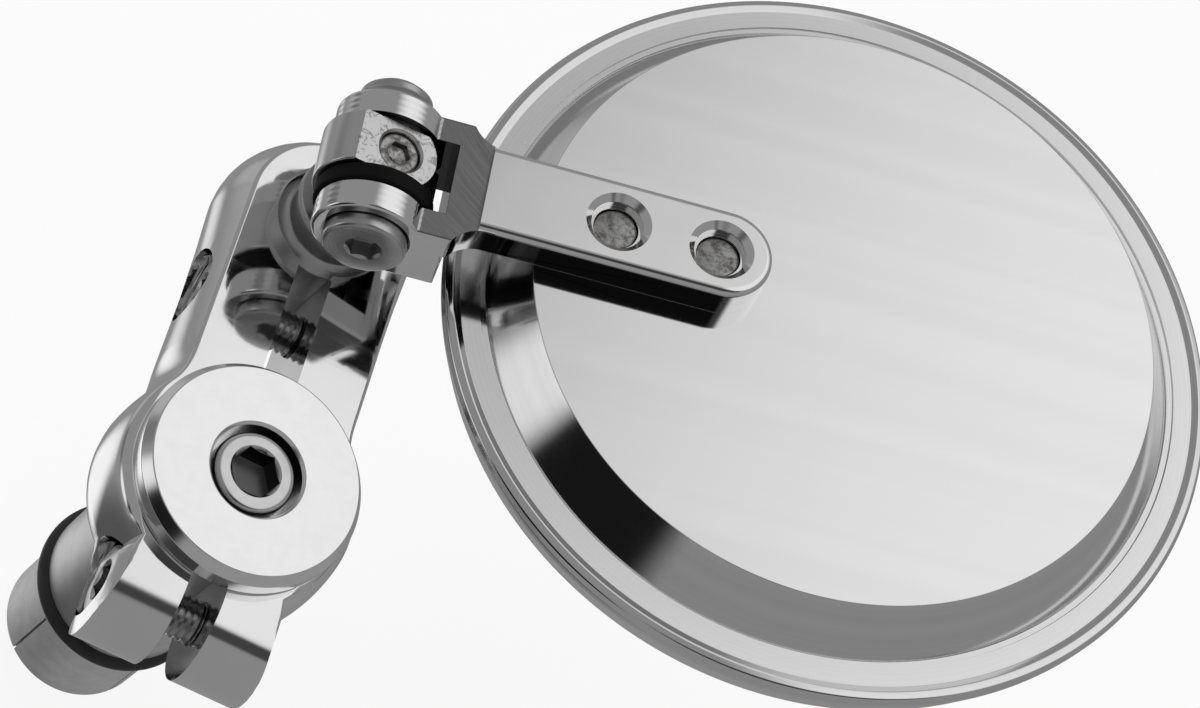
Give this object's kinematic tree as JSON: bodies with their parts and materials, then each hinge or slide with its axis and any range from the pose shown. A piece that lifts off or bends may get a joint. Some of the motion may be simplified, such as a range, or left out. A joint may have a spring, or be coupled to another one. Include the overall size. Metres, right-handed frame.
{
  "type": "motorcycle bar end mirror",
  "caption": "Round mirror on a forked tongue, hinged to a swivel block and a slotted clamp arm that turns on a bar end expander.",
  "frame": {"origin": "on the handlebar's axis, in the plane of the bar's end, where the rubber ring seats", "axes": "+Z out of the bar through the end cap, +Y along the clamp arm from the bar to the mirror's swivel, +X across the arm"},
  "size_m": [0.111, 0.1044, 0.0862],
  "materials": {
    "turned_aluminium": "turned, satin",
    "ring_rubber": "smooth black rubber",
    "blasted_sleeve": "bead blasted, matte",
    "bolt_steel": "turned stainless steel",
    "cap_polish": "polished, with fine turning marks",
    "arm_polish": "polished aluminium",
    "stem_matte": "matte grey",
    "block_polish": "polished, scratched by use",
    "worn_screw": "worn dark steel",
    "black_washer": "matte black",
    "bracket_polish": "polished, with fine milling marks",
    "shell_polish": "polished, with fine turning marks",
    "pad_foam": "black foam",
    "mirror_face": "silvered glass"
  },
  "bodies": {
    "base": {"bar_spigot": "turned_aluminium", "seat_o_ring": "ring_rubber", "expander_sleeve": "blasted_sleeve", "expander_wedge": "turned_aluminium", "draw_bolt": "bolt_steel", "end_cap": "cap_polish"},
    "arm": {"clamp_arm": "arm_polish", "lower_pinch_bolt": "bolt_steel", "upper_pinch_bolt": "bolt_steel"},
    "swivel": {"swivel_stem": "stem_matte", "pivot_block": "block_polish", "block_screw": "worn_screw"},
    "mirror": {"friction_washer": "black_washer", "thin_washer": "bolt_steel", "pivot_bolt": "bolt_steel", "pivot_nut": "bolt_steel", "mirror_bracket": "bracket_polish", "inner_shell_screw": "worn_screw", "outer_shell_screw": "worn_screw", "mirror_shell": "shell_polish", "glass_pad": "pad_foam", "mirror_glass": "mirror_face"}
  },
  "joints": [
    {"name": "arm_turn", "type": "hinge", "parent": "base", "child": "arm", "pos_m": [0, 0, 0.02825], "axis": [0, 0, 1], "range_deg": [-180, 180]},
    {"name": "swivel_turn", "type": "hinge", "parent": "arm", "child": "swivel", "pos_m": [0, 0.0347, 0.02825], "axis": [0, 0, 1], "range_deg": [-15, 150]},
    {"name": "mirror_fold", "type": "hinge", "parent": "swivel", "child": "mirror", "pos_m": [0, 0.0347, 0.0469], "axis": [-0.0837, 0.9965, 0], "range_deg": [-75, 20]}
  ]
}
